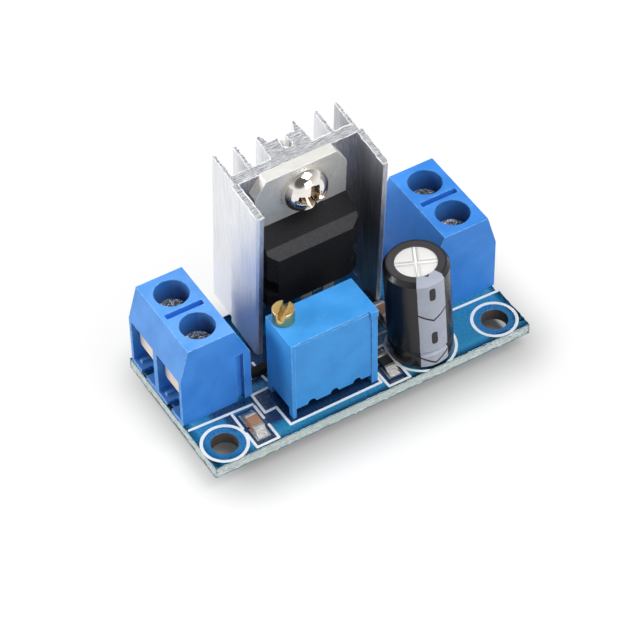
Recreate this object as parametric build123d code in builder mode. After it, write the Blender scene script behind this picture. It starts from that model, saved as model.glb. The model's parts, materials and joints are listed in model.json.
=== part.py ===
from build123d import *
import os
from math import atan, cos, degrees, radians, sin

# Adjustable voltage regulator module on a small printed board.
# Millimetres. X runs along the board's long front edge, Y to the back, Z up.
# The origin is midway between the two mounting holes, on the board's underside.

# Board
board_length = 35.8
board_depth = 17.0
board_thickness = 1.4
mounting_hole_diameter = 2.7
mounting_hole_pitch = 30.7
hole_to_left_edge = 2.4
hole_to_front_edge = 2.4
plating_wall = 0.1
pad_thickness = 0.06
pin_tail = 1.5
solder_height = 0.95
solder_foot = 0.92
hole_flats = 8

# Screw terminals, two poles each, wire side just inside the board's ends
terminal_set_back = 0.1
terminal_pitch = 5.0
terminal_length = 10.1
terminal_depth = 7.65
terminal_height = 9.8
terminal_middle_y = 9.03
front_slope_inset = 1.02
front_slope_drop = 3.7
rear_slope_inset = 1.6
rear_slope_drop = 3.6
screw_set_back = 3.5
screw_well_diameter = 3.5
cell_width = 4.28
cell_depth = 6.2
cell_ceiling = 5.85
terminal_floor = 0.45
floor_notch_width = 0.95
floor_notch_depth = 1.3
floor_rib_length = 0.9
floor_rib_width = 0.4
floor_rib_height = 0.3
divider_slot_length = 4.1
divider_slot_width = 0.65
divider_slot_depth = 1.0
dovetail_set_back = 6.45
dovetail_width = 0.8
dovetail_flare = 0.15
dovetail_depth = 0.52
dovetail_height = 6.35
dovetail_gap = 0.05

# Clamp inside each terminal cell
cage_depth = 3.2
cage_width = 3.9
cage_height = 4.4
cage_wall = 0.6
cage_roof = 0.9
terminal_pin_width = 1.0
terminal_pin_thickness = 0.7
pin_slot_gap = 0.12
terminal_hole_radius = 0.72
terminal_pad_radius = 1.25
guard_thickness = 0.45
guard_height = 2.65
guard_tongue_width = 3.8
guard_tongue_height = 2.65
guard_set_back = 0.7
guard_leaf_width = 2.5
guard_leaf_end = 5.0
guard_corner = 0.5
terminal_screw_sink = 2.25
terminal_screw_head_diameter = 3.3
terminal_screw_head_height = 1.3
terminal_screw_diameter = 2.5
screw_running_gap = 0.05
terminal_screw_slot = 0.5
terminal_screw_slot_depth = 0.6
terminal_screw_edge = 0.25

# Heatsink extrusion, leaning forward and a little to the left with the regulator
tower_x = 0.14
tower_y = 12.88
tower_lean = 5.6
tower_tilt = -1.15
tower_foot_gap = 0.02
heatsink_height = 20.5
heatsink_inside_width = 13.0
heatsink_base = 1.15
front_wall = 0.68
front_wall_reach = 4.75
front_wall_step = 0.15
fin_reach = 4.2
fin_tip = 0.32
fin_root = 0.46
fin_spacing = 4.45
outer_fin = 0.37
boss_reach = 3.1
boss_half_width = 1.4
boss_fin_tip_near = 1.78
boss_fin_tip_far = 2.1
boss_root_half_width = 2.35
channel_radius = 0.55
channel_mouth = 0.9
channel_depth = 2.05

# Regulator in a three-lead tab package
tab_offset = -0.35
tab_width = 10.06
tab_thickness = 1.27
tab_top = 20.7
tab_chamfer_across = 1.2
tab_chamfer_down = 2.0
tab_hole_diameter = 3.7
tab_hole_from_top = 3.0
paddle_width = 7.6
paddle_bottom = 6.4
body_width = 10.1
body_depth = 4.2
body_bottom = 5.4
body_top = 14.35
shoulder_depth = 3.3
shoulder_height = 13.4
brow_height = 12.25
body_bevel_width = 0.95
body_bevel_depth = 0.6
notch_floor = 0.25
body_notch_bottom = 7.2
body_notch_height = 2.2
body_notch_slope = 0.5
lead_pitch = 2.54
lead_plane = 2.5
lead_thickness = 0.5
lead_wide = 1.25
lead_narrow = 0.75
lead_neck = 2.2
lead_anchor_height = 1.8
regulator_hole_radius = 0.6
regulator_pad_radius = 0.95
die_width = 3.0
die_height = 2.4
die_thickness = 0.3
die_from_bottom = 4.5

# Screw that holds the tab to the heatsink
screw_offset = -0.1
pan_head_diameter = 5.0
pan_head_height = 2.0
pan_head_rounding = 1.35
pan_screw_diameter = 3.0
pan_screw_length = 5.0
cross_length = 3.1
cross_width = 0.72
cross_depth = 1.15
cross_turn = 20.0

# Electrolytic capacitor
capacitor_x = 7.35
capacitor_y = 0.95
capacitor_lean_back = 2.0
capacitor_lean_left = 2.3
capacitor_standoff = 0.28
can_radius = 3.1
can_height = 11.15
can_wall = 0.3
can_shoulder = 0.3
bead_height = 1.65
bead_depth = 0.2
bead_half_width = 0.32
sleeve_wall = 0.13
sleeve_gap = 0.02
sleeve_rim_radius = 2.1
bung_height = 1.2
winding_gap = 0.15
capacitor_lead_pitch = 2.5
capacitor_lead_diameter = 0.5
capacitor_hole_radius = 0.42
capacitor_pad_radius = 0.8
vent_width = 0.24
vent_depth = 0.1
vent_turn = -30.5

# Multi-turn trimmer
trimmer_left = -8.23
trimmer_front = -0.79
trimmer_length = 9.52
trimmer_depth = 4.8
trimmer_height = 10.0
trimmer_wall = 0.4
trimmer_right_frame = 0.68
trimmer_top_wall = 0.8
trimmer_foot_height = 1.0
trimmer_foot_size = 0.75
trimmer_pin_pitch = 2.54
trimmer_pin_size = 0.5
trimmer_hole_radius = 0.42
trimmer_pad_radius = 0.8
cover_recess = 0.12
cover_thickness = 0.8
cover_lip = 0.3
cover_notch_radius = 0.45
corner_tab_size = 0.85
corner_tab_reach = 0.18
corner_tab_nick = 0.25
base_thickness = 0.6
element_gap = 0.1
element_thickness = 0.6
adjuster_inset = 1.27
adjuster_head_diameter = 2.19
adjuster_head_height = 1.5
adjuster_head_gap = 0.04
adjuster_shank_diameter = 1.4
adjuster_groove_diameter = 1.0
adjuster_flange_diameter = 1.62
adjuster_flange_height = 0.3
adjuster_slot_width = 0.56
adjuster_slot_depth = 0.7
adjuster_slot_turn = 44.0
seal_height = 0.5
seal_gap = 0.02
wiper_height = 1.4
wiper_middle = 5.0
wiper_depth = 2.3
wiper_width = 2.0
wiper_side_gap = 0.05
wiper_bore_gap = 0.03
wiper_contact_width = 1.2
wiper_contact_height = 0.6

# Surface mounted parts: length along their own axis, width, height
chip_length = 2.0
chip_width = 1.18
chip_capacitor_height = 0.8
chip_resistor_height = 0.55
chip_end = 0.38
chip_end_skin = 0.04
input_chip_spot = (-11.8, 0.45)
second_chip_spot = (6.4, 6.4)
resistor_spot = (3.07, 0.6)
chip_pad_length = 1.25
chip_pad_width = 1.5
chip_solder_reach = 0.85
solder_climb = 0.85
diode_spot = (-7.95, 6.15)
diode_length = 2.0
diode_width = 0.95
diode_height = 0.65
diode_lead_width = 0.5
diode_lead_thickness = 0.12
diode_lead_reach = 0.35
diode_chamfer = 0.1
diode_pad_size = 0.9

# Places that follow from the sizes above
board_left = -mounting_hole_pitch / 2 - hole_to_left_edge
board_right = board_left + board_length
board_front = -hole_to_front_edge
board_top = board_thickness
board_middle = board_left + board_length / 2
heatsink_half = heatsink_inside_width / 2 + front_wall
wall_dip = front_wall_reach * sin(radians(tower_lean))
side_dip = heatsink_half * sin(radians(abs(tower_tilt)))
tower_z = board_top + wall_dip + side_dip + tower_foot_gap
tower = Plane(Location((tower_x, tower_y, tower_z), (tower_lean, tower_tilt, 0)))
tab_hole_height = tab_top - tab_hole_from_top
capacitor_base = Plane(
    Location(
        (capacitor_x, capacitor_y, board_top + capacitor_standoff),
        (-capacitor_lean_back, -capacitor_lean_left, 0),
    )
)
trimmer_base_plane = Plane((trimmer_left, trimmer_front, board_top))
UP = (Align.CENTER, Align.CENTER, Align.MIN)
DOWN = (Align.CENTER, Align.CENTER, Align.MAX)
CORNER = (Align.MIN, Align.MIN, Align.MIN)


def standing(base, shift=0.0):
    # A plane on edge across a piece: x as the base, y up, facing the piece's front
    return Plane(base.from_local_coords((0, shift, 0)), x_dir=base.x_dir, z_dir=-base.y_dir)


def sideways(base, shift=0.0):
    # A plane on edge along a piece: x to the piece's back, y up, facing its right
    return Plane(base.from_local_coords((shift, 0, 0)), x_dir=base.y_dir, z_dir=base.x_dir)


def through_board(base, x, y):
    # Where a line along the base's own upright crosses the middle of the board
    foot = base.from_local_coords((x, y, 0))
    climb = (board_thickness / 2 - foot.Z) / base.z_dir.Z
    spot = foot + base.z_dir * climb
    return (spot.X, spot.Y)


def keep(piece, name):
    piece.part.label = name
    export_step(piece.part, "parts/" + name + ".step")


def fitted(blank, *neighbours):
    # The blank with room cut for the pieces that sit in it
    with BuildPart() as piece:
        add(blank.part)
        for neighbour in neighbours:
            add(neighbour.part, mode=Mode.SUBTRACT)
    return piece


def turned(base, axis, points):
    # A solid of revolution from its half section, radius first and then height
    with BuildPart() as piece:
        with BuildSketch(standing(base)):
            Polygon(*points, align=None)
        revolve(axis=axis)
    return piece


os.makedirs("parts", exist_ok=True)

# Screw terminals
left_block = Plane((board_left + terminal_set_back, terminal_middle_y, board_top))
right_block = Plane((board_right - terminal_set_back, terminal_middle_y, board_top), x_dir=(-1, 0, 0))
cell_shifts = [-terminal_pitch / 2, terminal_pitch / 2]


def cell_plane(block, shift):
    # Stands on the board on the axis of one clamp screw
    return Plane(block.from_local_coords((screw_set_back, shift, 0)), x_dir=block.x_dir)


def dovetail(edge, depth, width):
    # Outline of a dovetail that starts at an end face and flares inwards or outwards
    near = width / 2
    far = near + dovetail_flare
    return [
        (dovetail_set_back - near, edge),
        (dovetail_set_back + near, edge),
        (dovetail_set_back + far, edge + depth),
        (dovetail_set_back - far, edge + depth),
    ]


def terminal_housing(block):
    half = terminal_length / 2
    foot_height = terminal_height - front_slope_drop
    pad_room = 2 * (terminal_pad_radius + pin_slot_gap)
    with BuildPart(block) as housing:
        with BuildSketch(standing(block, half)):
            Polygon(
                (0, 0),
                (terminal_depth, 0),
                (terminal_depth, terminal_height - rear_slope_drop),
                (terminal_depth - rear_slope_inset, terminal_height),
                (front_slope_inset, terminal_height),
                (0, foot_height),
                align=None,
            )
        extrude(amount=terminal_length)
        with BuildSketch(block):
            Polygon(*dovetail(half, dovetail_depth - dovetail_gap, dovetail_width - dovetail_gap), align=None)
        extrude(amount=dovetail_height - dovetail_gap)
        with BuildSketch(block):
            Polygon(*dovetail(-half, dovetail_depth, dovetail_width), align=None)
        extrude(amount=dovetail_height, mode=Mode.SUBTRACT)
        for shift in cell_shifts:
            cell_middle = (cell_depth / 2, shift, terminal_floor)
            with Locations(cell_middle):
                Box(cell_depth, cell_width, cell_ceiling - terminal_floor, align=UP, mode=Mode.SUBTRACT)
            with Locations((screw_set_back, shift, cell_ceiling - 0.5)):
                Cylinder(screw_well_diameter / 2, terminal_height, align=UP, mode=Mode.SUBTRACT)
            with Locations((floor_notch_depth / 2, shift + floor_notch_width / 8, 0)):
                Box(floor_notch_depth, floor_notch_width, terminal_floor, align=UP, mode=Mode.SUBTRACT)
            with Locations((floor_rib_length, shift + 1.5, terminal_floor)):
                Box(floor_rib_length, floor_rib_width, floor_rib_height, align=UP)
            with Locations((screw_set_back, shift, 0)):
                Box(
                    terminal_pin_thickness + 2 * pin_slot_gap,
                    terminal_pin_width + 2 * pin_slot_gap,
                    terminal_floor,
                    align=UP,
                    mode=Mode.SUBTRACT,
                )
                Box(pad_room, pad_room, 2 * pad_thickness, align=UP, mode=Mode.SUBTRACT)
        with Locations((screw_set_back, 0, terminal_height)):
            Box(
                divider_slot_length, divider_slot_width, divider_slot_depth, align=DOWN, mode=Mode.SUBTRACT
            )
    return housing


def clamp_cage(cell):
    with BuildPart(cell) as cage:
        with Locations((0, 0, terminal_floor)):
            Box(cage_depth, cage_width, cage_height, align=UP)
        with Locations((0, 0, terminal_floor + cage_wall)):
            Box(
                cage_depth,
                cage_width - 2 * cage_wall,
                cage_height - cage_wall - cage_roof,
                align=UP,
                mode=Mode.SUBTRACT,
            )
        with Locations((0, 0, terminal_floor + cage_wall)):
            Cylinder(
                terminal_screw_diameter / 2 + screw_running_gap, cage_height, align=UP, mode=Mode.SUBTRACT
            )
        with Locations((0, 0, terminal_floor)):
            Box(
                terminal_pin_thickness,
                terminal_pin_width,
                terminal_floor + board_thickness + pin_tail,
                align=DOWN,
            )
    return cage


def wire_guard(cell):
    tongue_face = guard_set_back - screw_set_back
    leaf_length = guard_leaf_end - guard_set_back
    with BuildPart(cell) as guard:
        with Locations((tongue_face + guard_thickness / 2, 0, guard_height)):
            Box(guard_thickness, guard_tongue_width, guard_tongue_height, align=UP)
        low_corners = guard.edges().filter_by(Axis.X).group_by(Axis.Z)[0]
        fillet(low_corners, guard_corner)
        with Locations((tongue_face + leaf_length / 2, 0, guard_height)):
            Box(leaf_length, guard_leaf_width, guard_thickness, align=UP)
    return guard


def terminal_screw(cell):
    head_top = terminal_height - terminal_screw_sink
    head_bottom = head_top - terminal_screw_head_height
    shank_bottom = guard_height + guard_thickness
    head_radius = terminal_screw_head_diameter / 2
    with BuildPart(cell) as screw:
        with Locations((0, 0, head_bottom)):
            Cylinder(head_radius, terminal_screw_head_height, align=UP)
        chamfer(screw.edges().group_by(Axis.Z)[-1], terminal_screw_edge)
        with Locations((0, 0, head_top)):
            Box(2 * head_radius, terminal_screw_slot, terminal_screw_slot_depth, align=DOWN, mode=Mode.SUBTRACT)
            Box(terminal_screw_slot, 1.2 * head_radius, terminal_screw_slot_depth, align=DOWN, mode=Mode.SUBTRACT)
        with Locations((0, 0, shank_bottom)):
            Cylinder(terminal_screw_diameter / 2, head_bottom - shank_bottom, align=UP)
    return screw


terminal_cages = []
terminal_pin_spots = []
for side, block in (("left", left_block), ("right", right_block)):
    keep(terminal_housing(block), side + "_terminal_housing")
    for shift in cell_shifts:
        cell = cell_plane(block, shift)
        place = "front" if cell.origin.Y < terminal_middle_y else "back"
        cage = clamp_cage(cell)
        terminal_cages.append(cage)
        terminal_pin_spots.append((cell.origin.X, cell.origin.Y))
        keep(cage, side + "_" + place + "_clamp_cage")
        keep(wire_guard(cell), side + "_" + place + "_wire_guard")
        keep(terminal_screw(cell), side + "_" + place + "_terminal_screw")

# Heatsink: base plate, two front walls, six fins and the grooved boss behind the screw
inside_half = heatsink_inside_width / 2
with BuildPart() as heatsink:
    with BuildSketch(tower):
        with Locations((0, heatsink_base / 2)):
            Rectangle(heatsink_inside_width + 2 * outer_fin, heatsink_base)
        for way in (-1, 1):
            Polygon(
                (way * inside_half, front_wall_step),
                (way * inside_half, -front_wall_reach),
                (way * (heatsink_half - front_wall / 3), -front_wall_reach),
                (way * heatsink_half, -front_wall_reach + front_wall / 3),
                (way * heatsink_half, front_wall_step),
                align=None,
            )
            Polygon(
                (way * inside_half, 0),
                (way * (inside_half + outer_fin), 0),
                (way * (inside_half + outer_fin), fin_reach),
                (way * (inside_half + outer_fin - fin_tip), fin_reach),
                align=None,
            )
            Polygon(
                (way * fin_spacing - fin_root / 2, 0),
                (way * fin_spacing + fin_root / 2, 0),
                (way * fin_spacing + fin_tip / 2, fin_reach),
                (way * fin_spacing - fin_tip / 2, fin_reach),
                align=None,
            )
            Polygon(
                (0, 0),
                (way * boss_root_half_width, 0),
                (way * boss_fin_tip_far, fin_reach),
                (way * boss_fin_tip_near, fin_reach),
                (way * boss_half_width, boss_reach),
                (0, boss_reach),
                align=None,
            )
        with Locations((0, channel_depth)):
            Circle(channel_radius, mode=Mode.SUBTRACT)
        with Locations((0, (channel_depth + fin_reach) / 2)):
            Rectangle(channel_mouth, fin_reach - channel_depth, mode=Mode.SUBTRACT)
    extrude(amount=heatsink_height)
    with BuildSketch(standing(tower, fin_reach)):
        with Locations((screw_offset, tab_hole_height)):
            Circle(pan_screw_diameter / 2)
    extrude(amount=fin_reach, mode=Mode.SUBTRACT)
keep(heatsink, "heatsink")

# Regulator: tab, paddle and centre lead are one stamped piece
tab_half = tab_width / 2
lead_tip = -(tower_z + pin_tail)


def lead_shape(x, top):
    # A lead steps from its wide upper part to its narrow tail
    with Locations((x, -lead_plane, lead_neck)):
        Box(lead_wide, lead_thickness, top - lead_neck, align=UP)
        Box(lead_narrow, lead_thickness, lead_neck - lead_tip, align=DOWN)


with BuildPart(tower) as regulator_leadframe:
    with BuildSketch(standing(tower)):
        Polygon(
            (tab_offset - tab_half, body_top),
            (tab_offset + tab_half, body_top),
            (tab_offset + tab_half, tab_top - tab_chamfer_down),
            (tab_offset + tab_half - tab_chamfer_across, tab_top),
            (tab_offset - tab_half + tab_chamfer_across, tab_top),
            (tab_offset - tab_half, tab_top - tab_chamfer_down),
            align=None,
        )
        with Locations((tab_offset, (body_top + paddle_bottom) / 2)):
            Rectangle(paddle_width, body_top - paddle_bottom)
        with Locations((tab_offset, tab_hole_height)):
            Circle(tab_hole_diameter / 2, mode=Mode.SUBTRACT)
    extrude(amount=tab_thickness)
    lead_shape(tab_offset, body_bottom + lead_anchor_height)
    with Locations((tab_offset, -tab_thickness, paddle_bottom)):
        Box(
            lead_wide,
            lead_plane - tab_thickness,
            body_bottom + lead_anchor_height - paddle_bottom,
            align=(Align.CENTER, Align.MAX, Align.MIN),
        )
with BuildPart(tower) as regulator_left_lead:
    lead_shape(tab_offset - lead_pitch, body_bottom + lead_anchor_height)
with BuildPart(tower) as regulator_right_lead:
    lead_shape(tab_offset + lead_pitch, body_bottom + lead_anchor_height)
with BuildPart(tower) as regulator_die:
    with Locations((tab_offset, -tab_thickness, body_bottom + die_from_bottom)):
        Box(die_width, die_thickness, die_height, align=(Align.CENTER, Align.MAX, Align.MIN))
with BuildPart(tower) as regulator_block:
    with BuildSketch(sideways(tower, tab_offset - body_width / 2)):
        Polygon(
            (0, body_bottom),
            (0, body_top),
            (-tab_thickness, body_top),
            (-shoulder_depth, shoulder_height),
            (-body_depth, brow_height),
            (-body_depth, body_bottom),
            align=None,
        )
    extrude(amount=body_width)
    with BuildSketch(tower):
        for way in (-1, 1):
            corner = tab_offset + way * body_width / 2
            Polygon(
                (corner, -body_depth + body_bevel_depth),
                (corner, -body_depth),
                (corner - way * body_bevel_width, -body_depth),
                align=None,
            )
    extrude(amount=body_top, mode=Mode.SUBTRACT)
    with BuildSketch(standing(tower, -tab_thickness)):
        for way in (-1, 1):
            side = tab_offset + way * body_width / 2
            floor = tab_offset + way * (paddle_width / 2 + notch_floor)
            notch_top = body_notch_bottom + body_notch_height
            Polygon(
                (floor, body_notch_bottom),
                (side, body_notch_bottom),
                (side, notch_top),
                (floor, notch_top - body_notch_slope),
                align=None,
            )
    extrude(amount=body_depth - tab_thickness, mode=Mode.SUBTRACT)
regulator_body = fitted(
    regulator_block, regulator_leadframe, regulator_left_lead, regulator_right_lead, regulator_die
)
keep(regulator_leadframe, "regulator_leadframe")
keep(regulator_left_lead, "regulator_left_lead")
keep(regulator_right_lead, "regulator_right_lead")
keep(regulator_die, "regulator_die")
keep(regulator_body, "regulator_body")
regulator_lead_spots = [
    through_board(tower, tab_offset + step * lead_pitch, -lead_plane) for step in (-1, 0, 1)
]

# Pan head screw through the tab into the heatsink
screw_seat = Plane(
    tower.from_local_coords((screw_offset, -tab_thickness, tab_hole_height)),
    x_dir=tower.x_dir,
    z_dir=-tower.y_dir,
)
crown = pan_head_diameter / 2 - pan_head_rounding
rim = pan_head_height - pan_head_rounding
pan_head_blank = turned(
    screw_seat,
    Axis(screw_seat.origin, screw_seat.z_dir),
    [
        (0, -pan_screw_length),
        (pan_screw_diameter / 2, -pan_screw_length),
        (pan_screw_diameter / 2, 0),
        (pan_head_diameter / 2, 0),
        (pan_head_diameter / 2, rim),
        (crown + pan_head_rounding * cos(radians(30)), rim + pan_head_rounding * sin(radians(30))),
        (crown + pan_head_rounding * cos(radians(60)), rim + pan_head_rounding * sin(radians(60))),
        (crown, pan_head_height),
        (0, pan_head_height),
    ],
)
with BuildPart(screw_seat) as screw_cross:
    with Locations(Location((0, 0, pan_head_height), (0, 0, cross_turn))):
        Box(cross_length, cross_width, cross_depth, align=DOWN)
        Box(cross_width, cross_length, cross_depth, align=DOWN)
keep(fitted(pan_head_blank, screw_cross), "heatsink_screw")

# Electrolytic capacitor: can, sleeve, bung, winding and two leads
bead_low = bead_height - bead_half_width
bead_high = bead_height + bead_half_width
sleeve_inside = can_radius + sleeve_gap
sleeve_outside = sleeve_inside + sleeve_wall
sleeve_top = can_height + sleeve_gap
capacitor_axis = Axis(capacitor_base.origin, capacitor_base.z_dir)

capacitor_can = turned(
    capacitor_base,
    capacitor_axis,
    [
        (can_radius - can_wall, 0),
        (can_radius, 0),
        (can_radius, bead_low),
        (can_radius - bead_depth, bead_height),
        (can_radius, bead_high),
        (can_radius, can_height - can_shoulder),
        (can_radius - can_shoulder, can_height),
        (0, can_height),
        (0, can_height - can_wall),
        (can_radius - can_wall, can_height - can_wall),
    ],
)
with BuildPart(capacitor_base) as vent_cross:
    with Locations(Location((0, 0, can_height), (0, 0, vent_turn))):
        Box(2 * sleeve_rim_radius, vent_width, 2 * vent_depth)
        Box(vent_width, 2 * sleeve_rim_radius, 2 * vent_depth)
keep(fitted(capacitor_can, vent_cross), "capacitor_can")
capacitor_sleeve = turned(
    capacitor_base,
    capacitor_axis,
    [
        (sleeve_inside, 0),
        (sleeve_outside, 0),
        (sleeve_outside, bead_low),
        (sleeve_outside - bead_depth, bead_height),
        (sleeve_outside, bead_high),
        (sleeve_outside, can_height - can_shoulder),
        (sleeve_outside - can_shoulder, sleeve_top + sleeve_wall),
        (sleeve_rim_radius, sleeve_top + sleeve_wall),
        (sleeve_rim_radius, sleeve_top),
        (sleeve_inside - can_shoulder, sleeve_top),
        (sleeve_inside, can_height - can_shoulder),
        (sleeve_inside, bead_high),
        (sleeve_inside - bead_depth, bead_height),
        (sleeve_inside, bead_low),
    ],
)
keep(capacitor_sleeve, "capacitor_sleeve")
winding_bottom = bead_high + winding_gap
capacitor_tip = -(capacitor_standoff + board_top + pin_tail)
capacitor_leads = {}
for lead_name, way in (("negative", -1), ("positive", 1)):
    with BuildPart(capacitor_base) as capacitor_lead:
        with Locations((0, way * capacitor_lead_pitch / 2, capacitor_tip)):
            Cylinder(capacitor_lead_diameter / 2, winding_bottom - capacitor_tip, align=UP)
    capacitor_leads[lead_name] = capacitor_lead
    keep(capacitor_lead, "capacitor_" + lead_name + "_lead")
with BuildPart(capacitor_base) as capacitor_bung:
    with Locations((0, 0, can_wall / 2)):
        Cylinder(can_radius - can_wall, bung_height - can_wall / 2, align=UP)
keep(fitted(capacitor_bung, *capacitor_leads.values()), "capacitor_bung")
with BuildPart(capacitor_base) as capacitor_winding:
    with Locations((0, 0, winding_bottom)):
        Cylinder(
            can_radius - can_wall - winding_gap,
            can_height - can_wall - winding_gap - winding_bottom,
            align=UP,
        )
keep(capacitor_winding, "capacitor_winding")
capacitor_lead_spots = [
    through_board(capacitor_base, 0, way * capacitor_lead_pitch / 2) for way in (-1, 1)
]

# Trimmer
adjuster_y = trimmer_depth - adjuster_inset
trimmer_roof = trimmer_height - trimmer_top_wall
cover_back = cover_recess + cover_thickness
cover_right = trimmer_length - trimmer_right_frame
base_top = trimmer_foot_height + base_thickness
trimmer_pin_xs = [trimmer_length / 2 + step * trimmer_pin_pitch for step in (-1, 0, 1)]
trimmer_pin_y = trimmer_depth / 2
with BuildPart(trimmer_base_plane) as trimmer_housing:
    Box(trimmer_length, trimmer_depth, trimmer_height, align=CORNER)
    with Locations((trimmer_wall, 0, 0)):
        Box(
            cover_right - trimmer_wall,
            cover_back,
            trimmer_height - cover_lip,
            align=CORNER,
            mode=Mode.SUBTRACT,
        )
    with Locations((trimmer_wall, cover_back, 0)):
        Box(
            trimmer_length - 2 * trimmer_wall,
            trimmer_depth - cover_back - trimmer_wall,
            trimmer_roof,
            align=CORNER,
            mode=Mode.SUBTRACT,
        )
    with Locations((trimmer_length / 2, trimmer_depth / 2, 0)):
        Box(
            trimmer_length,
            trimmer_depth - 2 * trimmer_foot_size,
            trimmer_foot_height,
            align=UP,
            mode=Mode.SUBTRACT,
        )
        Box(
            trimmer_length - 2 * trimmer_foot_size,
            trimmer_depth,
            trimmer_foot_height,
            align=UP,
            mode=Mode.SUBTRACT,
        )
    with Locations((adjuster_inset, adjuster_y, trimmer_roof)):
        Cylinder(
            adjuster_shank_diameter / 2 + screw_running_gap, trimmer_height, align=UP, mode=Mode.SUBTRACT
        )
    with Locations((trimmer_length / 2, 0, trimmer_height)):
        Box(
            trimmer_length - 2 * corner_tab_size,
            cover_recess,
            cover_lip,
            align=(Align.CENTER, Align.MIN, Align.MAX),
            mode=Mode.SUBTRACT,
        )
    with Locations((trimmer_length - corner_tab_size, 0, trimmer_height - cover_lip)):
        Box(
            corner_tab_nick,
            2 * cover_recess,
            cover_lip,
            align=(Align.MAX, Align.MIN, Align.MIN),
            mode=Mode.SUBTRACT,
        )
    with Locations((trimmer_length, 0, trimmer_height)):
        Box(
            corner_tab_size,
            corner_tab_reach,
            corner_tab_size,
            align=(Align.MAX, Align.MAX, Align.MAX),
        )
keep(trimmer_housing, "trimmer_housing")
with BuildPart(trimmer_base_plane) as trimmer_cover:
    with BuildSketch(standing(trimmer_base_plane, cover_back)):
        with Locations(((trimmer_wall + cover_right) / 2, trimmer_foot_height)):
            Rectangle(
                cover_right - trimmer_wall,
                trimmer_height - cover_lip - trimmer_foot_height,
                align=(Align.CENTER, Align.MIN),
            )
        with Locations(*[(x, trimmer_foot_height) for x in trimmer_pin_xs]):
            Circle(cover_notch_radius, mode=Mode.SUBTRACT)
    extrude(amount=cover_thickness)
keep(trimmer_cover, "trimmer_cover")
trimmer_pins = []
for x in trimmer_pin_xs:
    with BuildPart(trimmer_base_plane) as trimmer_pin:
        with Locations((x, trimmer_pin_y, -board_top - pin_tail)):
            Box(trimmer_pin_size, trimmer_pin_size, board_top + pin_tail + base_top, align=UP)
    trimmer_pins.append(trimmer_pin)
with BuildPart() as trimmer_pin_set:
    for trimmer_pin in trimmer_pins:
        add(trimmer_pin.part)
keep(trimmer_pin_set, "trimmer_pins")
with BuildPart(trimmer_base_plane) as trimmer_base:
    with Locations((trimmer_wall, cover_back, trimmer_foot_height)):
        Box(
            trimmer_length - 2 * trimmer_wall,
            trimmer_depth - cover_back - trimmer_wall,
            base_thickness,
            align=CORNER,
        )
keep(fitted(trimmer_base, trimmer_pin_set), "trimmer_base")
element_front = cover_back + element_gap
element_back = element_front + element_thickness
with BuildPart(trimmer_base_plane) as trimmer_element:
    with Locations((trimmer_wall + element_gap, element_front, base_top)):
        Box(
            trimmer_length - 2 * trimmer_wall - 2 * element_gap,
            element_thickness,
            trimmer_roof - base_top - element_gap,
            align=CORNER,
        )
keep(trimmer_element, "trimmer_element")
seal_bottom = trimmer_roof - seal_height
with BuildPart(trimmer_base_plane) as trimmer_seal:
    with Locations((adjuster_inset, adjuster_y, seal_bottom)):
        Cylinder(adjuster_inset - trimmer_wall - seal_gap, seal_height, align=UP)
        Cylinder(adjuster_groove_diameter / 2 + seal_gap, seal_height, align=UP, mode=Mode.SUBTRACT)
keep(trimmer_seal, "trimmer_seal")
flange_top = seal_bottom - seal_gap
head_seat = trimmer_height + adjuster_head_gap
with BuildPart(trimmer_base_plane) as adjusting_screw:
    with Locations((adjuster_inset, adjuster_y, head_seat)):
        Cylinder(adjuster_head_diameter / 2, adjuster_head_height, align=UP)
        Cylinder(adjuster_shank_diameter / 2, head_seat - trimmer_roof, align=DOWN)
    with Locations(
        Location((adjuster_inset, adjuster_y, head_seat + adjuster_head_height), (0, 0, adjuster_slot_turn))
    ):
        Box(
            adjuster_head_diameter, adjuster_slot_width, adjuster_slot_depth, align=DOWN, mode=Mode.SUBTRACT
        )
    with Locations((adjuster_inset, adjuster_y, trimmer_roof)):
        Cylinder(adjuster_groove_diameter / 2, trimmer_roof - flange_top, align=DOWN)
    with Locations((adjuster_inset, adjuster_y, flange_top)):
        Cylinder(adjuster_flange_diameter / 2, adjuster_flange_height, align=DOWN)
        Cylinder(adjuster_shank_diameter / 2, flange_top - base_top - seal_gap, align=DOWN)
keep(adjusting_screw, "adjusting_screw")
wiper_left = trimmer_wall + wiper_side_gap
wiper_back = trimmer_depth - trimmer_wall - wiper_side_gap
wiper_bottom = wiper_middle - wiper_height / 2
with BuildPart(trimmer_base_plane) as wiper_carriage:
    with Locations((wiper_left, wiper_back, wiper_bottom)):
        Box(wiper_width, wiper_depth, wiper_height, align=(Align.MIN, Align.MAX, Align.MIN))
    with Locations((adjuster_inset, adjuster_y, wiper_bottom)):
        Cylinder(
            adjuster_shank_diameter / 2 + wiper_bore_gap, wiper_height, align=UP, mode=Mode.SUBTRACT
        )
keep(wiper_carriage, "wiper_carriage")
wiper_front = wiper_back - wiper_depth
with BuildPart(trimmer_base_plane) as wiper_contact:
    with Locations((wiper_left + wiper_width / 2, wiper_front, wiper_middle)):
        Box(
            wiper_contact_width,
            wiper_front - element_back - seal_gap,
            wiper_contact_height,
            align=(Align.CENTER, Align.MAX, Align.CENTER),
        )
keep(wiper_contact, "wiper_contact")
trimmer_pin_spots = [(trimmer_left + x, trimmer_front + trimmer_pin_y) for x in trimmer_pin_xs]

# Surface mounted parts, their pads and solder
chip_base_height = board_top + pad_thickness


def chip_body(spot, height):
    with BuildPart() as body:
        with Locations((spot[0], spot[1], chip_base_height)):
            Box(chip_width, chip_length - 2 * chip_end_skin, height, align=UP)
            for way in (-1, 1):
                with Locations((0, way * (chip_length / 2 - chip_end / 2), 0)):
                    Box(chip_width, chip_end, chip_end_skin, align=UP, mode=Mode.SUBTRACT)
                with Locations((0, way * (chip_length / 2 - chip_end / 2), height)):
                    Box(chip_width, chip_end, chip_end_skin, align=DOWN, mode=Mode.SUBTRACT)
    return body


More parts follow.
